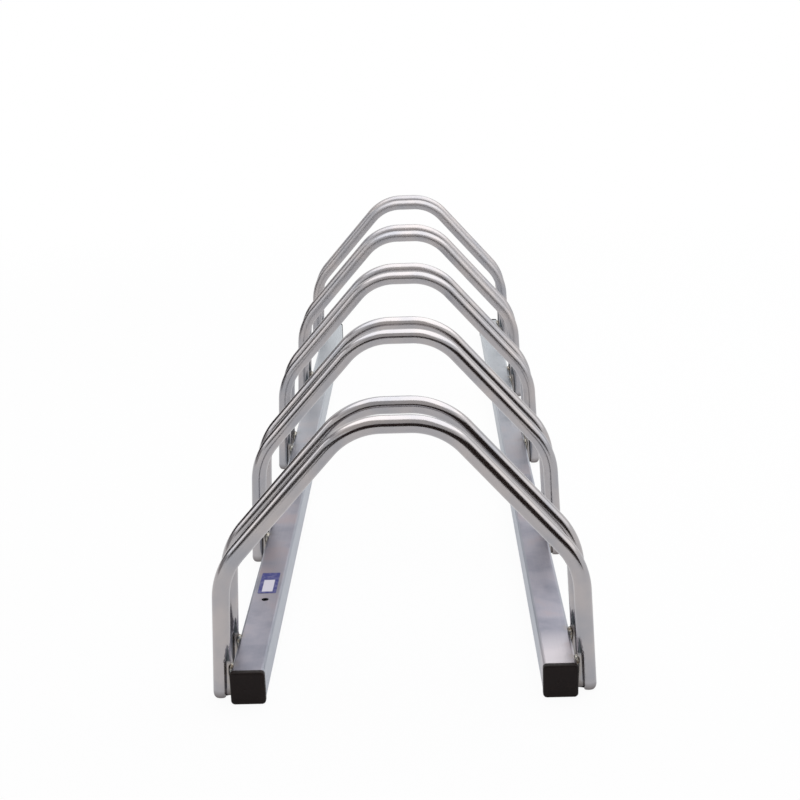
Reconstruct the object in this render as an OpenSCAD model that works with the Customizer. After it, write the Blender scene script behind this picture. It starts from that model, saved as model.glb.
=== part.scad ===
// Floor bike rack: two square rails carry five pairs of bent tube hoops.
// A wheel stands between the two hoops of a pair. All lengths are in millimetres.
// X runs across the rack, Y along its rails and Z up, from the floor.

/* [Rack] */
// Length of the rack over its end caps
rack_l = 1325; // [900:5:1800]
// Width of the rack over the feet of its hoops
rack_w = 345; // [320:1:380]
// Height of the rack from the floor to the top of its hoops
rack_h = 260; // [235:1:300]

/* [Hoops] */
// Outer diameter of the hoop tube
tube_d = 16; // [12:0.5:20]
// Wall of the hoop tube
tube_wall = 1.5; // [1:0.1:2.5]
// Distance between the two hoops of a pair, centre to centre
pair_spacing = 56.5; // [40:0.5:80]
// Distance from the end of the rack to the centre of the first hoop
end_overhang = 19; // [17:0.5:40]
// Height of the corner between a leg and its shoulder
shoulder_z = 120; // [105:1:135]
// Distance between the two shoulder corners
shoulder_w = 316; // [300:1:328]
// Distance between the two crown corners
crown_w = 81; // [65:1:110]
// Bend radius at the shoulders, on the centre line
shoulder_bend_r = 69; // [40:1:90]
// Bend radius at the crown, on the centre line
crown_bend_r = 65; // [40:1:80]
// How much a bend draws the tube in, on its radius
bend_draw = 0.02; // [0.01:0.01:0.2]
// How far a straight run reaches into a bend
bend_lap = 0.1; // [0.05:0.05:0.5]

/* [Pressed feet] */
// Height of the feet above the floor
foot_clear = 1; // [0.5:0.1:3]
// Gap between a leg and its rail, at the top of the rail
foot_stand = 1.3; // [0.5:0.1:4]
// Width of the round part that the press leaves, from the outside of the foot
lobe_w = 11.5; // [10:0.5:14]
// Thickness of the tube where it is pressed into a web
web_t = 4; // [3:0.5:8]
// Height of the full press above the rail
groove_rise = 4; // [1:0.5:10]
// Height of the pointed dimple where the press runs out
dimple_h = 15; // [8:1:25]
// Rounding of the outer bottom corner of a foot
foot_round = 5; // [2:0.5:7]

/* [Rails] */
// Outer side of the square rail
rail_s = 30; // [25:1:40]
// Wall of the rail
rail_wall = 1.5; // [1:0.1:2.5]
// Outer corner radius of the rail
rail_corner_r = 3; // [2.6:0.1:5]

/* [Floor fixing] */
// Diameter of the fixing hole through each rail
fixing_d = 7; // [5:0.5:12]
// Distance from the end of the rail to its fixing hole
fixing_end = 149; // [120:1:200]

/* [End caps] */
// Thickness of the head of a cap
cap_head_t = 6; // [3:0.5:9]
// How far the head stands proud of the rail, on each side
cap_lip = 0.6; // [0.2:0.1:1.5]
// Corner radius of the head
cap_corner_r = 3.6; // [2.5:0.1:6]
// Rounding of the front edge of the head
cap_edge_r = 1.6; // [0.5:0.1:2.4]
// Length of the plug inside the rail
plug_l = 24; // [14:1:40]
// Wall of the plug
plug_wall = 2; // [1.2:0.1:3]
// Clearance of the plug's fins in the rail, on each side
plug_clear = 0.15; // [0.05:0.05:0.4]
// How far the fins stand proud of the plug
fin_reach = 0.9; // [0.4:0.1:1.5]
// Thickness of a fin
fin_t = 1.2; // [0.8:0.1:2]

/* [Welds] */
// Radius of a weld bead
bead_r = 3; // [1.5:0.1:4]
// Distance from a bead's ends to the ends of the web it holds
bead_inset = 1.5; // [0.5:0.5:4]

/* [Label] */
// Length of the blank label along the rail
label_l = 50; // [30:1:70]
// Width of the blank label
label_w = 18.5; // [10:0.5:22]
// Thickness of the blank label
label_t = 0.2; // [0.1:0.05:0.5]
// Corner radius of the blank label
label_r = 1.5; // [0.5:0.1:3]
// Distance from the fixing hole to the label
label_gap = 11; // [4:0.5:20]

/* [Hidden] */
pair_count = 5;
fin_count = 3;
cut = 1;          // overrun of every cut past the surface it opens
$fn = 64;

tube_r = tube_d / 2;
bore_r = tube_r - tube_wall;

// The centre line of half a hoop: foot, shoulder corner and crown corner, as [x, z]
foot_x = rack_w / 2 - tube_r;
shoulder_x = shoulder_w / 2;
crown_x = crown_w / 2;
crown_z = rack_h - tube_r;

// Directions along the centre line, from the +X axis
leg_angle = atan2(shoulder_z, shoulder_x - foot_x);
slope_angle = atan2(crown_z - shoulder_z, crown_x - shoulder_x);
crown_angle = 180;

// The rails lie between the legs, so their place follows the lean of the legs
rail_z = cap_lip + rail_s / 2;
rail_top = cap_lip + rail_s;
rail_l = rack_l - 2 * cap_head_t;
rail_face_x = min(leg_x(rail_top), leg_x(foot_clear)) - tube_r / sin(leg_angle) - foot_stand;
rail_x = rail_face_x - rail_s / 2;
rail_bore = rail_s - 2 * rail_wall;
rail_bore_r = rail_corner_r - rail_wall;
fixing_y = rail_l / 2 - fixing_end;

// The press leaves a lobe outside the crease and a web inside it. The crease is placed across
// the leg, from its centre line, and the web ends within the core.
crease = tube_r - lobe_w;
web_end = (crease + tube_wall / 2) / sin(leg_angle);
web_top = rail_top - rail_corner_r;
groove_top = rail_top + groove_rise;
dimple_r = (tube_r + crease + foot_stand) / 2;
core_top = groove_top + dimple_h + tube_wall;

pair_pitch = (rack_l - 2 * end_overhang - pair_spacing) / (pair_count - 1);
first_hoop_y = end_overhang - rack_l / 2;

plug_s = rail_bore - 2 * (plug_clear + fin_reach);
fin_s = rail_bore - 2 * plug_clear;
fin_pitch = plug_l / fin_count;

label_y = fixing_y - fixing_d / 2 - label_gap - label_l / 2;

// Centre of a leg at height z
function leg_x(z) = foot_x + z / tan(leg_angle);
function leg_point(z) = [leg_x(z), z];
function along(angle) = [cos(angle), sin(angle)];
function hoop_y(pair, rear) = first_hoop_y + (pair - 1) * pair_pitch + rear * pair_spacing;

// Length that a bend takes from each side of its corner
function bend_take(r, turn) = r * tan(turn / 2);

// A straight run of bar between two points of the centre line
module bar_run(from, to, r) {
    reach = to - from;
    translate([from.x, 0, from.y])
        rotate([0, atan2(reach.x, reach.y), 0])
            cylinder(r = r, h = norm(reach));
}

// A bend of bar that starts at a point, heading along one angle, and leaves along another
module bar_bend(start, bend_r, angle_in, angle_out, r) {
    centre = start + bend_r * along(angle_in + 90);
    translate([centre.x, 0, centre.y])
        rotate([90, 0, 0])
            rotate(angle_in - 90)
                rotate_extrude(angle = angle_out - angle_in)
                    translate([bend_r, 0])
                        circle(r);
}

// Half of the bent bar: a leg from height start_z, its bends and shoulder, and the crown to end_x
module half_bar(r, start_z, end_x) {
    shoulder = [shoulder_x, shoulder_z];
    crown = [crown_x, crown_z];
    up = along(leg_angle);
    slope = along(slope_angle);
    take_1 = bend_take(shoulder_bend_r, slope_angle - leg_angle);
    take_2 = bend_take(crown_bend_r, crown_angle - slope_angle);
    bend_1 = shoulder - take_1 * up;
    bend_2 = crown - take_2 * slope;
    bar_run(leg_point(start_z), bend_1 + bend_lap * up, r);
    bar_bend(bend_1, shoulder_bend_r, leg_angle, slope_angle, r - bend_draw);
    bar_run(shoulder + (take_1 - bend_lap) * slope, bend_2 + bend_lap * slope, r);
    bar_bend(bend_2, crown_bend_r, slope_angle, crown_angle, r - bend_draw);
    bar_run([crown_x - take_2 + bend_lap, crown_z], [end_x, crown_z], r);
}

// Half of the hollow bar, open at the foot and at the middle of the crown
module half_tube() {
    difference() {
        half_bar(tube_r, -cut, 0);
        half_bar(bore_r, -2 * cut, -cut);
    }
}

// Places its children in a leg's own frame: Z runs up its centre line, from the floor
module on_leg() {
    translate([foot_x, 0, 0])
        rotate([0, 90 - leg_angle, 0])
            children();
}

// The inner side of a leg, which the press has closed up
module pressed_core() {
    intersection() {
        bar_run(leg_point(-cut), leg_point(core_top), tube_r - tube_wall / 2);
        on_leg()
            translate([crease + tube_wall - tube_d, -tube_d, -tube_d])
                cube([tube_d, 2 * tube_d, core_top + 2 * tube_d]);
    }
}

// The flat tongue that reaches from the leg to the rail
module foot_web() {
    translate([0, web_t / 2, 0])
        rotate([90, 0, 0])
            linear_extrude(web_t)
                polygon([
                    [rail_face_x, foot_clear],
                    [leg_x(foot_clear) + web_end, foot_clear],
                    [leg_x(web_top) + web_end, web_top],
                    [rail_face_x, web_top]
                ]);
}

// What the press takes from one face of a leg: a groove that ends in a pointed dimple
module press_groove() {
    on_leg() {
        translate([-tube_d, web_t / 2, -tube_d])
            cube([tube_d + crease, tube_d, tube_d + groove_top]);
        translate([crease - dimple_r, web_t / 2 + dimple_r, groove_top])
            cylinder(r1 = dimple_r, r2 = 0, h = dimple_h);
    }
}

// What rounds the outer bottom corner of a foot
module corner_cut() {
    translate([rack_w / 2 - foot_round, 0, foot_clear + foot_round])
        difference() {
            translate([0, -tube_d, -foot_round - cut])
                cube([foot_round + cut, 2 * tube_d, foot_round + cut]);
            rotate([90, 0, 0])
                cylinder(r = foot_round, h = 2 * (tube_d + cut), center = true);
        }
}

// What is cut away below the foot
module floor_cut() {
    translate([0, -tube_d, foot_clear - tube_d])
        cube([rack_w, 2 * tube_d, tube_d]);
}

module half_hoop() {
    difference() {
        union() {
            half_tube();
            pressed_core();
            foot_web();
        }
        press_groove();
        mirror([0, 1, 0]) press_groove();
        corner_cut();
        floor_cut();
    }
}

// Rear is 0 for the front hoop of a pair and 1 for the rear one
module hoop(pair, rear) {
    color("gainsboro")
        translate([0, hoop_y(pair, rear), 0]) {
            half_hoop();
            mirror([1, 0, 0]) half_hoop();
        }
}

// A rectangle with round corners
module rounded_rect(w, l, r) {
    square([w - 2 * r, l], center = true);
    square([w, l - 2 * r], center = true);
    for (x = [-1, 1], y = [-1, 1])
        translate([x * (w / 2 - r), y * (l / 2 - r)])
            circle(r);
}

// A square bar with round corners, lying along Y from y = 0
module square_bar(s, r, l) {
    rotate([-90, 0, 0])
        linear_extrude(l)
            rounded_rect(s, s, r);
}

// Side is -1 on the left and 1 on the right. The right rail is the left one turned end for end.
module rail(side) {
    color("lightsteelblue")
        translate([side * rail_x, 0, 0])
            difference() {
                translate([0, -rail_l / 2, rail_z])
                    square_bar(rail_s, rail_corner_r, rail_l);
                translate([0, -rail_l / 2 - cut, rail_z])
                    square_bar(rail_bore, rail_bore_r, rail_l + 2 * cut);
                translate([0, side * fixing_y, cap_lip - cut])
                    cylinder(d = fixing_d, h = rail_s + 2 * cut);
            }
}

// One corner of a cap's head, with a rounded front edge
module head_corner() {
    rotate([90, 0, 0])
        rotate_extrude($fn = 32) {
            square([cap_corner_r, cap_head_t - cap_edge_r]);
            square([cap_corner_r - cap_edge_r, cap_head_t]);
            translate([cap_corner_r - cap_edge_r, cap_head_t - cap_edge_r])
                intersection() {
                    circle(cap_edge_r, $fn = 32);
                    square(cap_edge_r);
                }
        }
}

module cap_head() {
    corner = rail_s / 2 + cap_lip - cap_corner_r;
    hull()
        for (x = [-1, 1], z = [-1, 1])
            translate([x * corner, 0, z * corner])
                head_corner();
}

// The hollow plug, open at its inner end, with fins that grip the rail
module cap_plug() {
    difference() {
        union() {
            square_bar(plug_s, rail_bore_r, plug_l);
            for (i = [1 : fin_count])
                translate([0, i * fin_pitch - fin_t, 0])
                    square_bar(fin_s, rail_bore_r, fin_t);
        }
        square_bar(plug_s - 2 * plug_wall, rail_bore_r / 2, plug_l + cut);
    }
}

// End is -1 at the front and 1 at the rear
module end_cap(side, end) {
    color("#231f20")
        translate([side * rail_x, end * rail_l / 2, rail_z])
            rotate(end < 0 ? 0 : 180) {
                cap_head();
                cap_plug();
            }
}

// A bead is a quarter round with round ends, in the corner of a web and its rail
module weld_bead() {
    bead_l = web_top - foot_clear - 2 * bead_inset;
    translate([rail_face_x, web_t / 2, foot_clear + bead_inset])
        rotate_extrude(angle = 90) {
            translate([0, bead_r]) square([bead_r, bead_l - 2 * bead_r]);
            for (z = [bead_r, bead_l - bead_r])
                translate([0, z])
                    intersection() {
                        circle(bead_r);
                        translate([0, -bead_r]) square([bead_r, 2 * bead_r]);
                    }
        }
}

module weld_beads(pair) {
    color("darkkhaki")
        for (rear = [0, 1], side = [0, 1], face = [0, 1])
            translate([0, hoop_y(pair, rear), 0])
                mirror([side, 0, 0])
                    mirror([0, face, 0])
                        weld_bead();
}

// A plain label on top of the left rail, behind the fixing hole
module blank_label() {
    color("darkslateblue")
        translate([-rail_x, -label_y, rail_top])
            linear_extrude(label_t)
                rounded_rect(label_w, label_l, label_r);
}

rail(-1);  // rail_left
rail(1);  // rail_right
end_cap(-1, -1);  // end_cap_left_front
end_cap(-1, 1);  // end_cap_left_rear
end_cap(1, -1);  // end_cap_right_front
end_cap(1, 1);  // end_cap_right_rear
for (pair = [1 : pair_count]) {
    hoop(pair, 0);
    hoop(pair, 1);
    weld_beads(pair);
}
blank_label();
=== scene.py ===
import bmesh
import bpy
import math
from mathutils import Matrix, Vector, noise


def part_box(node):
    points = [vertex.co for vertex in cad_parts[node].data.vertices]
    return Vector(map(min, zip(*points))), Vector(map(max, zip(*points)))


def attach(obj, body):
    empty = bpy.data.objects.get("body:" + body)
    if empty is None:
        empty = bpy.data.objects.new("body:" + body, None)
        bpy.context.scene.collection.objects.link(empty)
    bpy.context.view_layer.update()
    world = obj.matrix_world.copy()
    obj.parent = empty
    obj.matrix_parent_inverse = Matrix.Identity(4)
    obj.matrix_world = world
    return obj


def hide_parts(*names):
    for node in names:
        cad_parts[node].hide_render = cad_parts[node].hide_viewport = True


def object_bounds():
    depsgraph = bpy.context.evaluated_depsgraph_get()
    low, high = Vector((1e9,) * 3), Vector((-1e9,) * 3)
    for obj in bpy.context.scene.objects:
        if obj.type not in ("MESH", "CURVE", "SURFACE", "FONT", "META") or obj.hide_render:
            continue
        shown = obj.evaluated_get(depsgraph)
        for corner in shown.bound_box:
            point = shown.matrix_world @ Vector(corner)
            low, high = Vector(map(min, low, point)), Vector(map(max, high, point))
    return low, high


# Floor bike rack in its studio. Lengths are in metres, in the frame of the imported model:
# X across the rack, Y along its rails, Z up from the floor. The front end is towards -Y.
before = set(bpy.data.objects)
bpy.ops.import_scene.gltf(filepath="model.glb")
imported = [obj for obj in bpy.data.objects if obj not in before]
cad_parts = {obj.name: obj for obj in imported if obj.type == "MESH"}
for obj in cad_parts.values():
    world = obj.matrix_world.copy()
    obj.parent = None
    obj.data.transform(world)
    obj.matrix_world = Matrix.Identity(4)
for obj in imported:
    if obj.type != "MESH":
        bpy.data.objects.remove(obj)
cadLow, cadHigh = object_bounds()
print("frame loaded:", len(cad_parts), "nodes")

mm = 0.001
pairCount = 5
ends = ("front", "rear")


def linearColor(hexCode):
    # An sRGB hex colour as the linear values that shaders work in
    parts = [int(hexCode[i:i + 2], 16) / 255 for i in (1, 3, 5)]
    return tuple(c / 12.92 if c <= 0.04045 else ((c + 0.055) / 1.055) ** 2.4 for c in parts) + (1,)


def addNode(tree, kind, inputs=None, stops=None, **settings):
    # One node: its settings by name, its inputs as values or as sockets to link, a ramp's stops
    node = tree.nodes.new(kind)
    for name, value in settings.items():
        setattr(node, name, value)
    for name, value in (inputs or {}).items():
        if isinstance(value, bpy.types.NodeSocket):
            tree.links.new(value, node.inputs[name])
        else:
            node.inputs[name].default_value = value
    if stops:
        ramp = node.color_ramp.elements
        ramp[0].position, ramp[0].color = stops[0]
        ramp[1].position, ramp[1].color = stops[-1]
        for place, color in stops[1:-1]:
            ramp.new(place).color = color
    return node


def newMaterial(name):
    material = bpy.data.materials.new(name)
    material.use_nodes = True
    tree = material.node_tree
    tree.nodes.clear()
    return material, tree


def smoothStep(low, high, value):
    # 0 below low, 1 above high, and a soft rise between them
    t = min(1, max(0, (value - low) / (high - low)))
    return t * t * (3 - 2 * t)


def mix(a, b, share):
    return a + (b - a) * share


def addPiece(name, points, faces, materials, standsFor, sharpAngle=38):
    # A closed mesh with smooth faces and sharp edges, in place of the CAD nodes that it stands for
    mesh = bpy.data.meshes.new(name)
    mesh.from_pydata([tuple(p) for p in points], [], faces)
    shell = bmesh.new()
    shell.from_mesh(mesh)
    bmesh.ops.recalc_face_normals(shell, faces=shell.faces)
    shell.to_mesh(mesh)
    shell.free()
    mesh.shade_smooth()
    mesh.set_sharp_from_angle(angle=math.radians(sharpAngle))
    for material in materials:
        mesh.materials.append(material)
    piece = bpy.data.objects.new(name, mesh)
    bpy.context.scene.collection.objects.link(piece)
    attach(piece, "root")
    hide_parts(*standsFor)
    return piece


def skin(rings, around=False):
    # Quads from ring to ring. Around joins the last ring to the first; otherwise both ends are capped
    sides = len(rings[0])
    points = [p for ring in rings for p in ring]
    faces = []
    for i in range(len(rings) if around else len(rings) - 1):
        a = i * sides
        b = (i + 1) % len(rings) * sides
        for j in range(sides):
            k = (j + 1) % sides
            faces.append((a + j, a + k, b + k, b + j))
    if not around:
        faces.append(tuple(reversed(range(sides))))
        faces.append(tuple(range(len(points) - sides, len(points))))
    return points, faces


# Sizes that the pieces share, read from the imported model
railLow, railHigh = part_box("rail_left")
hoopLow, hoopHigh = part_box("hoop_1_front")
railTop = railHigh.z
railFace = -railLow.x           # outer face of a rail, from the middle of the rack
railCentre = -(railLow.x + railHigh.x) / 2
railSide = railHigh.x - railLow.x
tubeRadius = 8 * mm
footBottom = hoopLow.z
hoopTop = hoopHigh.z


def hoopPlace(pair, end):
    low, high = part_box(f"hoop_{pair}_{end}")
    return (low.y + high.y) / 2


hoopPlaces = [hoopPlace(pair, end) for pair in range(1, pairCount + 1) for end in ends]
pairGap = hoopPlaces[1] - hoopPlaces[0]
pairPitch = hoopPlaces[2] - hoopPlaces[0]


# Materials


def mixColors(tree, share, first, second):
    # A share of the second colour over the first; each is a hex code or a socket
    base, over = [linearColor(c) if isinstance(c, str) else c for c in (first, second)]
    return addNode(tree, "ShaderNodeMix", {0: share, 6: base, 7: over}, data_type="RGBA").outputs[2]


def calculate(tree, operation, *values):
    return addNode(tree, "ShaderNodeMath", dict(enumerate(values)), operation=operation).outputs[0]


def remap(tree, value, fromRange, toRange=(0, 1), **settings):
    # A value moved from one range to another and held at its ends
    return addNode(tree, "ShaderNodeMapRange", {
        "Value": value, "From Min": fromRange[0], "From Max": fromRange[1],
        "To Min": toRange[0], "To Max": toRange[1]}, **settings).outputs[0]


def splitAxes(tree, vector):
    return addNode(tree, "ShaderNodeSeparateXYZ", {0: vector}).outputs


def addPattern(tree, vector, size, settings):
    # Soft noise with features of a real size
    inputs = {"Vector": vector, "Scale": 1 / size, **settings}
    return addNode(tree, "ShaderNodeTexNoise", inputs).outputs["Fac"]


def addRamp(tree, value, stops):
    # Colours along a value: each stop is a place and a hex code
    places = [(place, linearColor(hexCode)) for place, hexCode in stops]
    return addNode(tree, "ShaderNodeValToRGB", {0: value}, stops=places).outputs[0]


def addBump(tree, height, depth, strength=1):
    inputs = {"Height": height, "Distance": depth, "Strength": strength}
    return addNode(tree, "ShaderNodeBump", inputs).outputs[0]


def addSurface(tree, inputs):
    shader = addNode(tree, "ShaderNodeBsdfPrincipled", inputs)
    addNode(tree, "ShaderNodeOutputMaterial", {"Surface": shader.outputs[0]})


weldHeat = {
    "reach": 11 * mm,           # how far the tint spreads from a weld
    "cloud": 5 * mm,
    "ragged": 9 * mm,           # how far the clouds push the tint out and in
    "tints": ((0.0, "#5c5047"), (0.35, "#8b7f6a"), (0.75, "#5f656f")),  # over its reach: brown, straw, blue
    "fadeFrom": 0.1,            # share of the reach where the tint starts to fade
}


def addWeldDistance(tree, coordinates):
    # Distance of a point from the nearest weld line, which repeats along the rack
    axes = splitAxes(tree, coordinates)
    fromFirst = calculate(tree, "SUBTRACT", axes["Y"], hoopPlaces[0] + pairGap / 2)
    wrapped = calculate(tree, "WRAP", fromFirst, pairPitch / 2, -pairPitch / 2)
    fromMiddle = calculate(tree, "ABSOLUTE", wrapped)
    along = calculate(tree, "SUBTRACT", fromMiddle, pairGap / 2)
    fromAxis = calculate(tree, "ABSOLUTE", axes["X"])
    across = calculate(tree, "SUBTRACT", fromAxis, railFace)
    aboveRail = calculate(tree, "SUBTRACT", axes["Z"], railTop)
    rise = calculate(tree, "MAXIMUM", aboveRail, 0)
    joined = addNode(tree, "ShaderNodeCombineXYZ", {"X": across, "Y": along, "Z": rise})
    return addNode(tree, "ShaderNodeVectorMath", {0: joined.outputs[0]}, operation="LENGTH").outputs["Value"]


def addHeatTint(tree, coordinates, color, strength):
    # The rainbow of a weld: brown at the bead, then straw, then a faint blue
    cloud = addPattern(tree, coordinates, weldHeat["cloud"], {"Detail": 3})
    ragged = calculate(tree, "MULTIPLY_ADD", cloud, weldHeat["ragged"], -weldHeat["ragged"] / 2)
    shifted = calculate(tree, "ADD", addWeldDistance(tree, coordinates), ragged)
    share = calculate(tree, "DIVIDE", shifted, weldHeat["reach"])
    tint = addRamp(tree, share, weldHeat["tints"])
    fade = remap(tree, share, (weldHeat["fadeFrom"], 1), (strength, 0))
    return mixColors(tree, fade, color, tint)


brightZinc = {
    "light": "#b3adac",
    "dark": "#9f9fa4",
    "cloud": 35 * mm,
    "cloudRange": (0.3, 0.7),   # part of the clouds between all light and all dark
    "pressShade": "#72777b",        # painted shade: slate grey in the pressed dimple, on the crease wall and at the top of the web
    "pressShadeRoughness": 0.5,
    "floorDarkening": "#554d4a",         # darker and browner towards the floor, at the bottom of each foot
    "floorDarkeningTop": 7 * mm,
    "floorDarkeningShare": 0.75,
    "heat": 0.5,                # strength of the weld's tint
    "drawLine": 2 * mm,         # lines that drawing the tube leaves, coarser than real to show
    "lineLength": 110 * mm,
    "lineRange": (0.3, 0.7),
    "roughness": (0.15, 0.2),   # over that range
    "bumpDepth": 0.0007 * mm,
    "dull": (-0.35, 0.45),      # from and to place along the rack
    "dullExtra": 0.2,           # how much rougher the far hoops are
}


def makeBrightZinc():
    # Drawn steel tube, bright zinc plated: glossy, with faint lines along the tube
    material, tree = newMaterial("brightZincPlate")
    zinc = brightZinc
    coordinates = addNode(tree, "ShaderNodeTexCoord").outputs["Object"]
    axes = splitAxes(tree, coordinates)
    tubeSpace = addNode(tree, "ShaderNodeAttribute", attribute_name="tubeSpace").outputs["Vector"]
    pressShade = addNode(tree, "ShaderNodeAttribute", attribute_name="pressShade").outputs["Fac"]
    clouds = addPattern(tree, coordinates, zinc["cloud"], {"Detail": 3})
    color = mixColors(tree, remap(tree, clouds, zinc["cloudRange"]), zinc["light"], zinc["dark"])
    tinted = addHeatTint(tree, coordinates, color, zinc["heat"])
    # Painted shade over the pressed feet, by each point's share of it
    shaded = mixColors(tree, pressShade, tinted, zinc["pressShade"])
    # Darker and browner towards the floor, over the bottom of each foot
    floorDarkening = remap(tree, axes["Z"], (footBottom, footBottom + zinc["floorDarkeningTop"]), (zinc["floorDarkeningShare"], 0))
    floorDarkened = mixColors(tree, floorDarkening, shaded, zinc["floorDarkening"])
    stretch = zinc["drawLine"] / zinc["lineLength"]
    lineSpace = addNode(tree, "ShaderNodeMapping", {"Vector": tubeSpace, "Scale": (1, 1, stretch)})
    lines = addPattern(tree, lineSpace.outputs[0], zinc["drawLine"], {"Detail": 1})
    polish = remap(tree, lines, zinc["lineRange"], zinc["roughness"])
    dull = remap(tree, axes["Y"], zinc["dull"], (0, zinc["dullExtra"]))
    satin = calculate(tree, "ADD", polish, dull)
    roughness = addNode(tree, "ShaderNodeMix", {0: pressShade, 2: satin, 3: zinc["pressShadeRoughness"]})
    addSurface(tree, {"Base Color": floorDarkened, "Metallic": 1, "Roughness": roughness.outputs[0],
                      "Normal": addBump(tree, lines, zinc["bumpDepth"])})
    return material


railZinc = {
    "tones": ((0.3, "#7f808c"), (0.5, "#95939d"), (0.68, "#9f9498")),   # over the clouds: dark, light, warm
    "patch": 48 * mm,           # size of the clouds
    "side": "#a6abb5",          # painted reflection: the rolled sides are painted a little lighter and bluer
    "rear": "#b7bdc2",          # painted reflection of the white surroundings: paler towards the rear
    "farSheenSpan": (-0.3, 0.4),       # from and to place along the rack
    "farSheenShare": 0.85,
    "frontSheen": "#b9b4b9",          # painted reflection: lighter at the front of the right rail
    "frontSheenReach": (86 * mm, 46 * mm),    # none and all of it, by distance from that end plus the clouds' push
    "heat": 0.35,
    "rollLine": 1.2 * mm,       # spacing of the lines that rolling the strip leaves
    "lineLength": 120 * mm,
    "textureRange": (0.7, 1.3),
    "roughness": (0.34, 0.44),  # over that range
    "bumpDepth": 0.003 * mm,
}


def makeRailZinc():
    # Rolled square tube, dull zinc plated: satin, clouded, with rolling lines along it
    material, tree = newMaterial("satinZincPlate")
    zinc = railZinc
    coordinates = addNode(tree, "ShaderNodeTexCoord").outputs["Object"]
    normal = addNode(tree, "ShaderNodeNewGeometry").outputs["Normal"]
    clouds = addPattern(tree, coordinates, zinc["patch"], {"Detail": 4, "Roughness": 0.55})
    color = addRamp(tree, clouds, zinc["tones"])
    # Painted reflection: faces turned sideways are painted lighter and bluer
    sideways = calculate(tree, "ABSOLUTE", splitAxes(tree, normal)["X"])
    paintedSideLight = mixColors(tree, sideways, color, zinc["side"])
    # Painted reflection: the rails turn paler towards the rear
    farSheenMask = remap(tree, splitAxes(tree, coordinates)["Y"], zinc["farSheenSpan"], (0, zinc["farSheenShare"]))
    farSheened = mixColors(tree, farSheenMask, paintedSideLight, zinc["rear"])
    # Painted reflection: lighter towards the front end of the right rail, with ragged edges from the clouds
    fromEnd = addNode(tree, "ShaderNodeVectorMath", {0: coordinates, 1: (railCentre, railLow.y, railTop)},
                      operation="DISTANCE")
    pushed = calculate(tree, "MULTIPLY_ADD", clouds, zinc["patch"], fromEnd.outputs["Value"])
    frontSheened = mixColors(tree, remap(tree, pushed, zinc["frontSheenReach"]), farSheened, zinc["frontSheen"])
    tinted = addHeatTint(tree, coordinates, frontSheened, zinc["heat"])
    stretch = zinc["rollLine"] / zinc["lineLength"]
    lineSpace = addNode(tree, "ShaderNodeMapping", {"Vector": coordinates, "Scale": (1, stretch, 1)})
    lines = addPattern(tree, lineSpace.outputs[0], zinc["rollLine"], {"Detail": 3})
    texture = calculate(tree, "ADD", clouds, lines)
    addSurface(tree, {"Base Color": tinted, "Metallic": 1,
                      "Roughness": remap(tree, texture, zinc["textureRange"], zinc["roughness"]),
                      "Normal": addBump(tree, lines, zinc["bumpDepth"])})
    return material


capPlastic = {
    "color": "#180f0e",
    "worn": "#241b19",
    "scuff": 8 * mm,
    "wornRange": (0.55, 0.75),  # part of the scuffs where the worn colour comes in
    "scuffRange": (0.35, 0.65),
    "roughness": (0.4, 0.55),   # over that range
    "gloss": 0.16,              # waxy plastic reflects less than polished plastic
    "ior": 1.5,
    "grain": 0.7 * mm,          # moulded texture
    "bumpDepth": 0.03 * mm,
    "bumpStrength": 0.6,
}


def makeCapPlastic():
    # Moulded polyethylene: nearly black, waxy, with a fine moulded grain
    material, tree = newMaterial("mouldedPolyethylene")
    plastic = capPlastic
    coordinates = addNode(tree, "ShaderNodeTexCoord").outputs["Object"]
    grain = addPattern(tree, coordinates, plastic["grain"], {"Detail": 2})
    scuffs = addPattern(tree, coordinates, plastic["scuff"], {"Detail": 5, "Roughness": 0.7})
    color = mixColors(tree, remap(tree, scuffs, plastic["wornRange"]), plastic["color"], plastic["worn"])
    addSurface(tree, {"Base Color": color, "IOR": plastic["ior"], "Specular IOR Level": plastic["gloss"],
                      "Roughness": remap(tree, scuffs, plastic["scuffRange"], plastic["roughness"]),
                      "Normal": addBump(tree, grain, plastic["bumpDepth"], plastic["bumpStrength"])})
    return material


weldSteel = {
    # over the patches: brown, gold, ivory, slate
    "tones": ((0.3, "#584c43"), (0.4, "#7b7164"), (0.5, "#b5b0a6"), (0.66, "#60676e")),
    "patch": 3.5 * mm,
    "patchRange": (0.3, 0.7),
    "roughness": (0.25, 0.5),   # over that range
    "metallic": 0.9,            # a little slag is left on it
    "bumpDepth": 0.12 * mm,
    "bumpStrength": 0.5,
}


def makeWeldSteel():
    # Weld metal as it cooled: glassy, tinted from ivory through gold and brown to slate
    material, tree = newMaterial("weldMetal")
    steel = weldSteel
    coordinates = addNode(tree, "ShaderNodeTexCoord").outputs["Object"]
    patches = addPattern(tree, coordinates, steel["patch"], {"Detail": 3, "Distortion": 0.6})
    addSurface(tree, {"Base Color": addRamp(tree, patches, steel["tones"]), "Metallic": steel["metallic"],
                      "Roughness": remap(tree, patches, steel["patchRange"], steel["roughness"]),
                      "Normal": addBump(tree, patches, steel["bumpDepth"], steel["bumpStrength"])})
    return material


labelPrint = {
    "ground": "#2b2f77",
    "panel": "#d6d3de",
    "margin": 4 * mm,           # blue left on three sides of the panel
    "band": 18 * mm,            # blue left at the rear end
    "edge": 0.3 * mm,
    "scuff": 4 * mm,
    "wornRange": (0.45, 0.8),   # part of the scuffs where the blue is rubbed pale
    "wornShare": 0.25,
    "gloss": 0.3,
    "ior": 1.5,
    "roughness": (0.35, 0.5),
}


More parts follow.
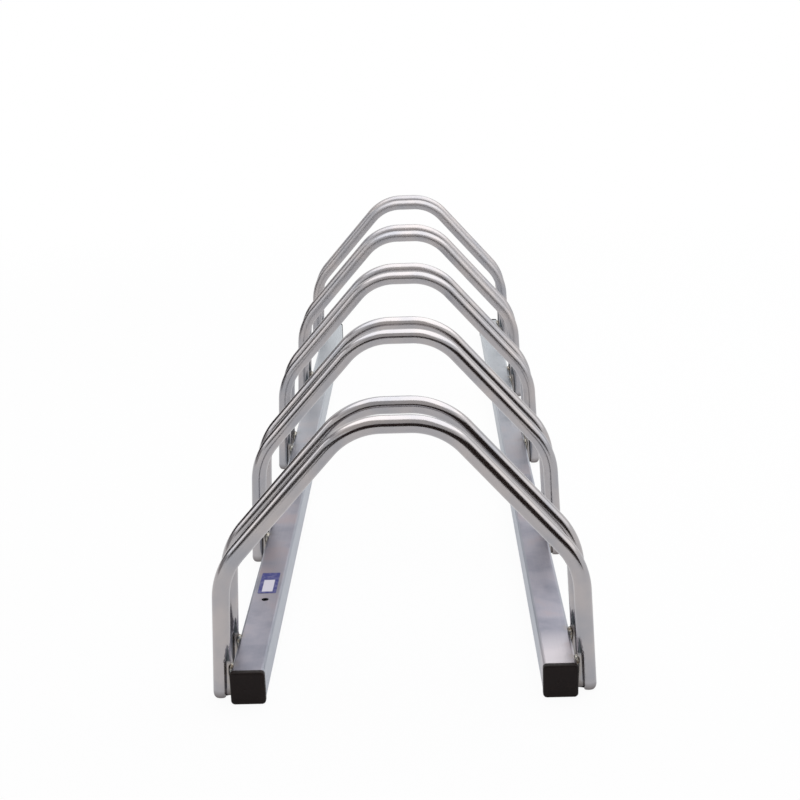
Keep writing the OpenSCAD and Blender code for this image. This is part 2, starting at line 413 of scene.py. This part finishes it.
def makeLabelVinyl():
    # Printed vinyl: a blue ground with a plain white panel, a little scuffed
    material, tree = newMaterial("printedVinyl")
    vinyl = labelPrint
    low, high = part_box("blank_label")
    coordinates = addNode(tree, "ShaderNodeTexCoord").outputs["Object"]
    axes = splitAxes(tree, coordinates)
    panelSides = {"X": (low.x + vinyl["margin"], high.x - vinyl["margin"]),
                  "Y": (low.y + vinyl["margin"], high.y - vinyl["band"])}
    shares = []
    for axis, (start, end) in panelSides.items():
        half = (end - start) / 2
        offset = calculate(tree, "SUBTRACT", axes[axis], (start + end) / 2)
        away = calculate(tree, "ABSOLUTE", offset)
        shares.append(remap(tree, away, (half, half + vinyl["edge"]), (1, 0)))
    panel = calculate(tree, "MULTIPLY", *shares)
    scuffs = addPattern(tree, coordinates, vinyl["scuff"], {"Detail": 5})
    worn = remap(tree, scuffs, vinyl["wornRange"], (0, vinyl["wornShare"]))
    ground = mixColors(tree, worn, vinyl["ground"], vinyl["panel"])
    addSurface(tree, {"Base Color": mixColors(tree, panel, ground, vinyl["panel"]), "IOR": vinyl["ior"],
                      "Roughness": remap(tree, scuffs, (0, 1), vinyl["roughness"]),
                      "Specular IOR Level": vinyl["gloss"]})
    return material


zincTube = makeBrightZinc()
zincRail = makeRailZinc()
blackCap = makeCapPlastic()
weldMetal = makeWeldSteel()
labelVinyl = makeLabelVinyl()
print("materials made")


# Rails and label keep their CAD meshes and get their finish

for nodeName, material in (("rail_left", zincRail), ("rail_right", zincRail), ("blank_label", labelVinyl)):
    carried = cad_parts[nodeName]
    carried.data.materials.clear()
    carried.data.materials.append(material)
print("rails and label dressed")


# Hoops: one bent tube each, with both feet pressed

hoopShape = {
    "shoulderHeight": 120 * mm,     # corner between leg and shoulder
    "shoulderHalf": 158 * mm,
    "crownHalf": 40.5 * mm,         # corner between shoulder and crown
    "footHalf": 164.5 * mm,         # a leg's centre at the floor
    "shoulderBend": 69 * mm,
    "crownBend": 65 * mm,
    "bendFlat": 0.18 * mm,          # how much a bend flattens the tube
    "sides": 64,
    "bendStep": math.radians(3),
    "runStep": 14 * mm,
    "wall": 1.5 * mm,
    "boreFootStep": 6 * mm,         # the bore is hardly seen, so its rings stand farther apart
    "boreBendStep": math.radians(6),
    "boreRunStep": 56 * mm,
    "patternShift": 0.7,            # each tube shows its own stretch of the drawing lines
}

crownHeight = hoopTop - tubeRadius
legLean = (hoopShape["footHalf"] - hoopShape["shoulderHalf"]) / hoopShape["shoulderHeight"]
legAngle = math.atan2(hoopShape["shoulderHeight"], hoopShape["shoulderHalf"] - hoopShape["footHalf"])
slopeAngle = math.atan2(crownHeight - hoopShape["shoulderHeight"],
                        hoopShape["crownHalf"] - hoopShape["shoulderHalf"])

footPress = {
    "lobe": 12.2 * mm,              # round part left outside the crease
    "web": 4 * mm,
    "webTop": 27.6 * mm,
    "pressTop": 34.6 * mm,          # end of the full press
    "dimpleTop": 53 * mm,           # tip of the pointed dimple
    "dimpleRadius": 1.8 * mm,
    "dimpleRim": 1.3 * mm,          # width of its soft rim
    "ledgeRise": 5 * mm,            # height over which the rest of the press runs out
    "crease": 0.8 * mm,             # softness of the crease
    "spreadStart": 1 * mm,          # below the web's top, where its spread to the rail starts to end
    "spreadEnd": 2 * mm,            # above the full press, where it has ended
    "dimpleShadeDepth": (0.1 * mm, 0.8 * mm),   # pressed depths over which the dimple's painted shade comes in
    # Painted shade on the crease wall
    "creaseShade": 0.1,
    "creaseShadeReach": (1 * mm, 3 * mm),       # from the web's inner edge
    "webShade": 0.4,                # painted shade at the top of the web
    "webShadeDrop": 4 * mm,
    "webShadeDepth": (0.3 * mm, 1.5 * mm),      # pressed depths over which that comes in
    "cornerRound": 5 * mm,          # outer bottom corner
    "roundReach": 20 * mm,          # height up to which the rings rise with that corner
    "rim": 0.3 * mm,                # broken edge at the floor
    "runOut": 4 * mm,               # plain tube above the dimple
    "step": 1 * mm,
    "boreLimit": 1.4 * mm,          # the bore's flat side, inside the crease
}


def pressLimit(c, z):
    # Half the thickness that the press leaves here, and the share of it that is the dimple's doing
    press = footPress
    half = press["web"] / 2
    above = z - press["pressTop"]
    if above <= 0:
        return half, 0
    climb = min(1, above / (press["dimpleTop"] - press["pressTop"]))
    ledge = mix(half, tubeRadius, smoothStep(0, press["ledgeRise"], above))
    centre = tubeRadius - press["lobe"] - press["dimpleRadius"]
    radius = press["dimpleRadius"] * (1 - climb)
    offset = abs(c - centre)
    rim = smoothStep(0, press["dimpleRim"], offset - radius)
    if rim >= 1 or climb >= 1:
        return ledge, 0
    surface = math.sqrt(tubeRadius ** 2 - centre ** 2)
    depth = mix(half + press["dimpleRadius"], surface, climb)
    depth -= math.sqrt(radius ** 2 - min(offset, radius) ** 2)
    return min(ledge, mix(depth, tubeRadius, rim)), 1 - rim


def pressedSection(c, y, z, bore):
    # c is the place across the leg, outwards from its centre, and y along the rack
    press = footPress
    crease = tubeRadius - press["lobe"]
    if bore:
        flat = mix(-press["boreLimit"], -tubeRadius, smoothStep(press["pressTop"], press["dimpleTop"], z))
        return max(c, flat), y, 0
    limit, inDimple = pressLimit(c, z)
    share = 1 - smoothStep(crease, crease + press["crease"], c)
    newY = math.copysign(mix(abs(y), min(abs(y), limit), share), y)
    pressed = abs(y) - abs(newY)
    # Share of painted shade: in the dimple, and below the full press on the crease wall and the top of the
    # web
    pressShade = inDimple * smoothStep(*press["dimpleShadeDepth"], pressed)
    if z <= press["pressTop"]:
        inside = tubeRadius - press["web"] / 2 - abs(c)
        onWall = (1 - abs(2 * share - 1)) * smoothStep(*press["creaseShadeReach"], inside)
        onTop = smoothStep(-press["webShadeDrop"], 0, z - press["pressTop"])
        onTop *= smoothStep(*press["webShadeDepth"], pressed)
        pressShade = max(press["creaseShade"] * onWall, press["webShade"] * onTop * share)
    if c < crease:
        legCentre = hoopShape["footHalf"] - z * legLean
        spreadTop = press["pressTop"] + press["spreadEnd"]
        reach = 1 - smoothStep(press["webTop"] - press["spreadStart"], spreadTop, z)
        toRail = mix(tubeRadius, legCentre - railFace, reach)
        c = crease + (c - crease) * (crease + toRail) / (crease + tubeRadius)
    return c, newY, pressShade


def footPoint(c, y, z, bore):
    # The outer bottom corner is rounded, so rings near the floor rise there
    press = footPress
    c, y, pressShade = pressedSection(c, y, z, bore)
    radius = press["cornerRound"]
    toCentre = max(0, radius - (tubeRadius - c))
    lift = radius - math.sqrt(radius ** 2 - toCentre ** 2)
    share = max(0, (press["roundReach"] - z) / (press["roundReach"] - footBottom))
    z = z + lift * share
    return (hoopShape["footHalf"] - z * legLean + c, y, z), pressShade


def centreLine(footHeight, bendStep, runStep):
    # Stations of half a hoop above its foot: x, z, heading and how far into a bend, 0 to 1
    shape = hoopShape
    shoulder = Vector((shape["shoulderHalf"], shape["shoulderHeight"]))
    crown = Vector((shape["crownHalf"], crownHeight))
    stations = []

    def direction(angle):
        return Vector((math.cos(angle), math.sin(angle)))

    def run(start, end, heading, first):
        count = max(1, math.ceil((end - start).length / runStep))
        for i in range(first, count):
            point = start.lerp(end, i / count)
            stations.append((point.x, point.y, heading, 0))

    def bend(start, radius, fromAngle, toAngle):
        centre = start + radius * direction(fromAngle + math.pi / 2)
        count = math.ceil((toAngle - fromAngle) / bendStep)
        for i in range(count):
            angle = mix(fromAngle, toAngle, i / count)
            point = centre + radius * direction(angle - math.pi / 2)
            stations.append((point.x, point.y, angle, math.sin(math.pi * i / count)))

    # How much a bend takes of the straight runs on both sides of its corner
    shoulderTake = shape["shoulderBend"] * math.tan((slopeAngle - legAngle) / 2)
    crownTake = shape["crownBend"] * math.tan((math.pi - slopeAngle) / 2)
    legTop = shoulder - shoulderTake * direction(legAngle)
    slopeLow = shoulder + shoulderTake * direction(slopeAngle)
    slopeHigh = crown - crownTake * direction(slopeAngle)
    footTop = Vector((shape["footHalf"] - footHeight * legLean, footHeight))
    run(footTop, legTop, legAngle, 1)
    bend(legTop, shape["shoulderBend"], legAngle, slopeAngle)
    run(slopeLow, slopeHigh, slopeAngle, 0)
    bend(slopeHigh, shape["crownBend"], slopeAngle, math.pi)
    run(Vector((crown.x - crownTake, crown.y)), Vector((0, crown.y)), math.pi, 0)
    stations.append((0, crownHeight, math.pi, 0))
    return stations


def halfSkin(radius, bore, footStep, bendStep, runStep):
    # Rings of half a hoop from the foot to the middle of the crown. With each point go its place in the
    # straight tube, which carries the drawing lines, and its share of painted shade in the pressed foot
    sides = hoopShape["sides"]
    turns = [2 * math.pi * j / sides for j in range(sides)]
    rings = []
    spaces = []
    footTop = footPress["dimpleTop"] + footPress["runOut"]
    heights = [footBottom]
    if not bore:
        heights.append(footBottom + footPress["rim"])
    count = math.ceil((footTop - heights[-1]) / footStep)
    heights += [mix(heights[-1], footTop, (i + 1) / count) for i in range(count)]
    for i, z in enumerate(heights):
        inset = footPress["rim"] if i == 0 and not bore else 0
        pressed = [footPoint((radius - inset) * math.cos(t), (radius - inset) * math.sin(t), z, bore)
                   for t in turns]
        rings.append([point for point, pressShade in pressed])
        spaces.append([(radius * math.cos(t), radius * math.sin(t), z, pressShade)
                       for t, (point, pressShade) in zip(turns, pressed)])
    travelled = footTop
    lastPoint = None
    for x, z, heading, bent in centreLine(footTop, bendStep, runStep):
        if lastPoint is not None:
            travelled += math.hypot(x - lastPoint[0], z - lastPoint[1])
        lastPoint = (x, z)
        outX, outZ = math.sin(heading), -math.cos(heading)
        flat = radius - hoopShape["bendFlat"] * bent
        ring = []
        for t in turns:
            c = flat * math.cos(t)
            ring.append((x + c * outX, radius * math.sin(t), z + c * outZ))
        rings.append(ring)
        spaces.append([(radius * math.cos(t), radius * math.sin(t), travelled, 0) for t in turns])
    return rings, spaces


def fullSkin(rings, spaces):
    # The other half mirrors the first one
    others = [[(-x, y, z) for x, y, z in ring] for ring in reversed(rings[:-1])]
    length = spaces[-1][0][2]
    otherSpaces = [[(c, y, 2 * length - s, pressShade) for c, y, s, pressShade in row]
                   for row in reversed(spaces[:-1])]
    return rings + others, spaces + otherSpaces


outerRings, outerSpaces = fullSkin(*halfSkin(
    tubeRadius, False, footPress["step"], hoopShape["bendStep"], hoopShape["runStep"]))
boreRings, boreSpaces = fullSkin(*halfSkin(
    tubeRadius - hoopShape["wall"], True, hoopShape["boreFootStep"], hoopShape["boreBendStep"],
    hoopShape["boreRunStep"]))
hoopPoints, hoopFaces = skin(outerRings + boreRings[::-1], around=True)
hoopSpaces = [s for row in outerSpaces + boreSpaces[::-1] for s in row]
for pair in range(1, pairCount + 1):
    for index, end in enumerate(ends):
        nodeName = f"hoop_{pair}_{end}"
        middle = hoopPlace(pair, end)
        placed = [(x, y + middle, z) for x, y, z in hoopPoints]
        hoop = addPiece(f"bentHoop{pair}{end.capitalize()}", placed, hoopFaces, [zincTube], [nodeName])
        tubeSpace = hoop.data.attributes.new("tubeSpace", "FLOAT_VECTOR", "POINT")
        shift = hoopShape["patternShift"] * (2 * pair + index)
        tubeSpace.data.foreach_set("vector", [v for c, y, s, pressShade in hoopSpaces for v in (c, y, s + shift)])
        # Each point's share of painted shade in the pressed foot
        pressShaded = hoop.data.attributes.new("pressShade", "FLOAT", "POINT")
        pressShaded.data.foreach_set("value", [pressShade for c, y, s, pressShade in hoopSpaces])
print("hoops made:", len(hoopPoints), "points each")


# End caps: a soft head, a moulded nib on its face, and the hollow plug with its fins

capShape = {
    "headThick": 6 * mm,
    "cornerRound": 3.6 * mm,
    "edgeRound": 1.6 * mm,
    "cornerGive": 0.6,              # how far the corners tighten with the edge's rounding
    "faceDish": 0.45 * mm,          # the face is a little hollow
    "dishRings": ((0.5, 2 * mm, 0.85), (0.8, 2.6 * mm, 0.3)),   # shares of side and dish, with the corner
    "middle": (1 * mm, 0.4 * mm),   # side and corner of the small square that closes a face
    "backEdge": (0.4 * mm, 0.5 * mm, 0.2 * mm),     # the head's rear edge: depth, less side, less corner
    "plugSide": 24.9 * mm,
    "plugLength": 24 * mm,
    "plugWall": 2 * mm,
    "plugRound": 1.5 * mm,
    "fins": 3,
    "finSide": 26.7 * mm,
    "finThick": 1.2 * mm,
    "finSlope": 0.3 * mm,           # the front of a fin slopes, and its rear is a little narrower
    "finTaper": 0.4 * mm,
    "nibPlace": (-2.6 * mm, -0.8 * mm),
    "nibRadius": 0.9 * mm,
    "nibHeight": 0.35 * mm,
    "nibProfile": ((1.25, -0.3), (1.1, 0.1), (0.95, 0.6), (0.7, 0.9), (0.3, 1.0)),  # shares of these two
    "nibSides": 20,
    "cornerSteps": 8,
    "edgeSteps": 6,
}


def roundedSquare(side, radius, depth):
    # Ring of a square with round corners, at a depth behind the cap's face
    steps = capShape["cornerSteps"]
    reach = side / 2 - radius
    ring = []
    for corner, (sx, sz) in enumerate(((1, 1), (-1, 1), (-1, -1), (1, -1))):
        for i in range(steps + 1):
            angle = math.pi / 2 * (corner + i / steps)
            ring.append(Vector((sx * reach + radius * math.cos(angle), depth,
                                sz * reach + radius * math.sin(angle))))
    return ring


def capRings():
    # From the middle of the face, over the head, along the plug's fins and back inside it
    cap = capShape
    headSide = 2 * (railTop - railSide / 2 - cadLow.z)      # the head stands on the floor
    corner = cap["cornerRound"]
    plug = (cap["plugSide"], cap["plugRound"])
    squares = [(*cap["middle"], cap["faceDish"])]
    for share, dishCorner, dish in cap["dishRings"]:
        squares.append((headSide * share, dishCorner, cap["faceDish"] * dish))
    for i in range(cap["edgeSteps"] + 1):
        angle = math.pi / 2 * i / cap["edgeSteps"]
        inset = cap["edgeRound"] * (1 - math.sin(angle))
        depth = cap["edgeRound"] * (1 - math.cos(angle))
        squares.append((headSide - 2 * inset, corner - inset * cap["cornerGive"], depth))
    head = cap["headThick"]
    edgeDepth, offSide, offCorner = cap["backEdge"]
    squares += [(headSide, corner, head - edgeDepth), (headSide - offSide, corner - offCorner, head),
                (*plug, head)]
    pitch = cap["plugLength"] / cap["fins"]
    for i in range(1, cap["fins"] + 1):
        back = head + i * pitch
        front = back - cap["finThick"]
        squares += [(*plug, front), (cap["finSide"], cap["plugRound"], front + cap["finSlope"]),
                    (cap["finSide"] - cap["finTaper"], cap["plugRound"], back)]
        if i < cap["fins"]:
            squares.append((*plug, back))
    bore = (cap["plugSide"] - 2 * cap["plugWall"], cap["plugRound"] / 2)
    squares += [(*bore, head + cap["plugLength"]), (*bore, head), (*cap["middle"], head)]
    return [roundedSquare(*square) for square in squares]


def nibRings():
    # The moulded nib, a low button that sinks a little into the face
    cap = capShape
    middleX, middleZ = cap["nibPlace"]
    turns = [2 * math.pi * i / cap["nibSides"] for i in range(cap["nibSides"])]
    rings = []
    for share, rise in cap["nibProfile"]:
        radius = cap["nibRadius"] * share
        depth = cap["faceDish"] - cap["nibHeight"] * rise
        rings.append([Vector((middleX + radius * math.cos(t), depth, middleZ + radius * math.sin(t)))
                      for t in turns])
    return rings


bodyPoints, bodyFaces = skin(capRings())
nibPoints, nibFaces = skin(nibRings())
capPoints = bodyPoints + nibPoints
capFaces = bodyFaces + [tuple(i + len(bodyPoints) for i in face) for face in nibFaces]
railMiddle = (railHigh.z + railLow.z) / 2
for side, sign in (("left", -1), ("right", 1)):
    for end, facing, endY in (("front", -1, cadLow.y), ("rear", 1, cadHigh.y)):
        nodeName = f"end_cap_{side}_{end}"
        placed = [Vector((sign * railCentre - facing * p.x, endY - facing * p.y, railMiddle + p.z))
                  for p in capPoints]
        addPiece(f"mouldedCap{side.capitalize()}{end.capitalize()}", placed, capFaces, [blackCap], [nodeName])
print("end caps made")


# Welds: a bead runs up each face of a foot's web and over its top

weldShape = {
    "low": 2.5 * mm,
    "thin": 1.8 * mm,               # bead radius near the floor
    "thick": 3.2 * mm,              # and at the rail's top corner
    "standOff": 0.9 * mm,           # from the rail's face to the bead's middle
    "arch": 0.6,                    # rise over the web's top, as a share of half its thickness
    "flat": 0.85,                   # width across the rack as a share of the other width
    "ripple": 1.7 * mm,             # length of one ripple
    "rippleDepth": 0.12,            # this and the next two are shares of the radius
    "uneven": 0.22,
    "lump": 0.1,
    "rippleMean": 0.7,
    "unevenLength": 6 * mm,
    "lumpLength": 3 * mm,
    "seedSteps": (7.3, 3.1),        # how far apart the noise of two beads is read
    "endSteps": 5,                  # rings over which an end swells
    "endStart": 0.15,
    "sides": 18,
    "step": 0.45 * mm,
}


def weldPath(faceX, middleY):
    # Up the front face of the web, over its top and down the rear face
    top = footPress["webTop"]
    half = footPress["web"] / 2
    points = []
    count = math.ceil((top - weldShape["low"]) / weldShape["step"])
    for i in range(count):
        points.append(Vector((faceX, middleY - half, mix(weldShape["low"], top, i / count))))
    over = math.ceil(math.pi * half / weldShape["step"])
    for i in range(over + 1):
        angle = math.pi * i / over
        height = top + half * weldShape["arch"] * math.sin(angle)
        points.append(Vector((faceX, middleY - half * math.cos(angle), height)))
    for i in range(count):
        points.append(Vector((faceX, middleY + half, mix(top, weldShape["low"], (i + 1) / count))))
    return points


def weldRings(middleY, sign, seed):
    # A rippled, uneven bead along its path, with swelling ends
    weld = weldShape
    points = weldPath(sign * (railFace + weld["standOff"]), middleY)
    across = Vector((sign, 0, 0))
    unevenSeed, lumpSeed = [seed * step for step in weld["seedSteps"]]
    rings = []
    travelled = 0
    for i, point in enumerate(points):
        before = points[max(0, i - 1)]
        after = points[min(len(points) - 1, i + 1)]
        heading = (after - before).normalized()
        travelled += (point - before).length
        other = heading.cross(across).normalized()
        height = smoothStep(weld["low"], footPress["webTop"], point.z)
        radius = mix(weld["thin"], weld["thick"], height ** 2)
        phase = travelled / weld["ripple"] % 1
        radius *= 1 + weld["rippleDepth"] * (math.sqrt(phase) - weld["rippleMean"])
        spot = Vector((unevenSeed, travelled / weld["unevenLength"], 0))
        radius *= 1 + weld["uneven"] * noise.noise(spot)
        fromEnd = min(i, len(points) - 1 - i)
        radius *= math.sqrt(min(1, fromEnd / weld["endSteps"] + weld["endStart"]))
        ring = []
        for j in range(weld["sides"]):
            angle = 2 * math.pi * j / weld["sides"]
            spot = Vector((lumpSeed + math.cos(angle), travelled / weld["lumpLength"], math.sin(angle)))
            lump = 1 + weld["lump"] * noise.noise(spot)
            out = weld["flat"] * math.cos(angle) * across + math.sin(angle) * other
            ring.append(point + radius * lump * out)
        rings.append(ring)
    return rings


for pair in range(1, pairCount + 1):
    beadPoints = []
    beadFaces = []
    for index, end in enumerate(ends):
        for sign in (-1, 1):
            seed = 4 * pair + 2 * index + (sign + 1) / 2
            points, faces = skin(weldRings(hoopPlace(pair, end), sign, seed))
            beadFaces += [tuple(i + len(beadPoints) for i in face) for face in faces]
            beadPoints += points
    addPiece(f"weldBeadsPair{pair}", beadPoints, beadFaces, [weldMetal], [f"weld_beads_pair_{pair}"],
             sharpAngle=80)
print("welds made")


# Studio: a white floor, a large soft box above and behind, and cards that only reflections see

studio = {
    "fill": 0.35,                   # light that the surroundings add
    "floorColor": "#f8f8fa",
    "floorSize": 60,
    "floorGap": 0.1 * mm,           # below the rack
    "floorShaded": 0.06,            # how much of the floor's own shade shows
    "floorInMetal": 0.3,            # and how much more of it in reflections
    "floorReach": (0.8, 2.2),       # both fade to none between these distances from the middle
    "boxSize": (3.6, 4.2),
    "boxPlace": (0.5, 0.3, 2.3),
    "boxTarget": (0.3, 0.1, 0),
    "boxRadiance": 1.4,
    "cardSteps": 48,
    "cards": (
        # name, middle's Y, radius, from and to angle from +Y towards +X, lowest, highest, colour, strength
        ("cameraCurtain", -0.62, 1.0, 112, 203, 0.03, 0.72, "#312826", 1),
        ("leftCurtain", -0.62, 1.0, 203, 250, 0.24, 0.54, "#322c2c", 1),
        ("roomShade", -0.62, 0.5, 122, 245, 0.49, 1.95, "#d6d3d1", 1),
        ("leftShade", 0, 3.0, 245, 300, 0, 3.0, "#a9a6a7", 1),
        ("leftFlag", -0.3, 1.3, 284, 328, 0.08, 0.62, "#352f31", 1),
        ("leftWindow", 0, 2.4, 246, 268, 0.7, 1.9, "#ffffff", 1.9),
        ("rightWindow", 0, 2.4, 80, 118, 0.6, 2.2, "#ffffff", 1.6),
    ),
}


def addBackgroundShare(tree):
    # 1 for rays that show the background: from the camera, off metal and through glass
    rays = addNode(tree, "ShaderNodeLightPath").outputs
    seen = calculate(tree, "MAXIMUM", rays["Is Camera Ray"], rays["Is Glossy Ray"])
    return calculate(tree, "MAXIMUM", seen, rays["Is Transmission Ray"])


world = bpy.data.worlds.new("studioWorld")
bpy.context.scene.world = world
world.use_nodes = True
worldTree = world.node_tree
worldTree.nodes.clear()
strength = remap(worldTree, addBackgroundShare(worldTree), (0, 1), (studio["fill"], 1))
sky = addNode(worldTree, "ShaderNodeBackground", {"Color": (1, 1, 1, 1), "Strength": strength})
addNode(worldTree, "ShaderNodeOutputWorld", {"Surface": sky.outputs[0]})


def makeFloorPaper():
    # White where the background shows, with a little of its own shade near the rack
    material, tree = newMaterial("whiteStudioPaper")
    shade = addNode(tree, "ShaderNodeBsdfDiffuse", {"Color": linearColor(studio["floorColor"])})
    white = addNode(tree, "ShaderNodeEmission", {"Color": (1, 1, 1, 1), "Strength": 1})
    coordinates = addNode(tree, "ShaderNodeTexCoord").outputs["Object"]
    away = addNode(tree, "ShaderNodeVectorMath", {0: coordinates}, operation="LENGTH").outputs["Value"]
    glossy = addNode(tree, "ShaderNodeLightPath").outputs["Is Glossy Ray"]
    atRack = calculate(tree, "MULTIPLY_ADD", glossy, -studio["floorInMetal"], 1 - studio["floorShaded"])
    near = remap(tree, away, studio["floorReach"], (atRack, 1), interpolation_type="SMOOTHSTEP")
    share = calculate(tree, "MULTIPLY", addBackgroundShare(tree), near)
    surface = addNode(tree, "ShaderNodeMixShader", {0: share, 1: shade.outputs[0], 2: white.outputs[0]})
    addNode(tree, "ShaderNodeOutputMaterial", {"Surface": surface.outputs[0]})
    return material


bpy.ops.mesh.primitive_plane_add(size=studio["floorSize"], location=(0, 0, cadLow.z - studio["floorGap"]))
floor = bpy.context.object
floor.name = "studioFloor"
floor.data.materials.append(makeFloorPaper())


def addCard(name, middleY, radius, fromAngle, toAngle, low, high, hexCode, strength):
    # A curved card round the rack, as bright as its colour, which the camera and shadows don't see
    material, tree = newMaterial(name + "Card")
    glow = addNode(tree, "ShaderNodeEmission", {"Color": linearColor(hexCode), "Strength": strength})
    addNode(tree, "ShaderNodeOutputMaterial", {"Surface": glow.outputs[0]})
    points = []
    steps = studio["cardSteps"]
    for i in range(steps + 1):
        angle = math.radians(mix(fromAngle, toAngle, i / steps))
        x, y = radius * math.sin(angle), middleY + radius * math.cos(angle)
        points += [(x, y, low), (x, y, high)]
    mesh = bpy.data.meshes.new(name)
    mesh.from_pydata(points, [], [(2 * i, 2 * i + 2, 2 * i + 3, 2 * i + 1) for i in range(steps)])
    mesh.materials.append(material)
    card = bpy.data.objects.new(name, mesh)
    bpy.context.scene.collection.objects.link(card)
    card.visible_camera = False
    card.visible_diffuse = False
    card.visible_shadow = False


for settings in studio["cards"]:
    addCard(*settings)


def addSoftBox(name, place, target, size, radiance):
    # An area lamp of a given brightness, turned to its target
    lamp = bpy.data.lights.new(name, "AREA")
    lamp.shape = "RECTANGLE"
    lamp.size, lamp.size_y = size
    lamp.energy = radiance * math.pi * size[0] * size[1]
    box = bpy.data.objects.new(name, lamp)
    box.location = place
    box.rotation_euler = (Vector(target) - Vector(place)).to_track_quat("-Z", "Y").to_euler()
    bpy.context.scene.collection.objects.link(box)
    return box


addSoftBox("overheadSoftBox", studio["boxPlace"], studio["boxTarget"], studio["boxSize"],
           studio["boxRadiance"])
print("studio made")


# Camera: where the photograph was taken from, in the rack's frame

camera = {
    "place": (29.5 * mm, hoopPlaces[0] - 1119.7 * mm, railLow.z + 606.3 * mm),
    "yaw": -0.0222,                 # to the right of straight along the rack
    "pitch": 0.2896,                # down
    "roll": 0.0337,
    "sensor": 36.0,                 # in the lens's own millimetres
    "focalPixels": 1385.5,
    "imagePixels": 800,
    "clipEnd": 100,
}

yaw, pitch, roll = camera["yaw"], camera["pitch"], camera["roll"]
ahead = Vector((math.sin(yaw) * math.cos(pitch), math.cos(yaw) * math.cos(pitch), -math.sin(pitch)))
level = Vector((math.cos(yaw), -math.sin(yaw), 0))
below = ahead.cross(level)
across = math.cos(roll) * level + math.sin(roll) * below
down = -math.sin(roll) * level + math.cos(roll) * below
cameraData = bpy.data.cameras.new("photoCamera")
cameraData.sensor_width = camera["sensor"]
cameraData.lens = camera["focalPixels"] / camera["imagePixels"] * camera["sensor"]
cameraData.clip_end = camera["clipEnd"]
cameraObject = bpy.data.objects.new("photoCamera", cameraData)
turned = Matrix((across, -down, -ahead)).transposed().to_4x4()
cameraObject.matrix_world = Matrix.Translation(camera["place"]) @ turned
bpy.context.scene.collection.objects.link(cameraObject)
bpy.context.scene.camera = cameraObject
bpy.context.scene.view_settings.view_transform = "Standard"
print("camera set")
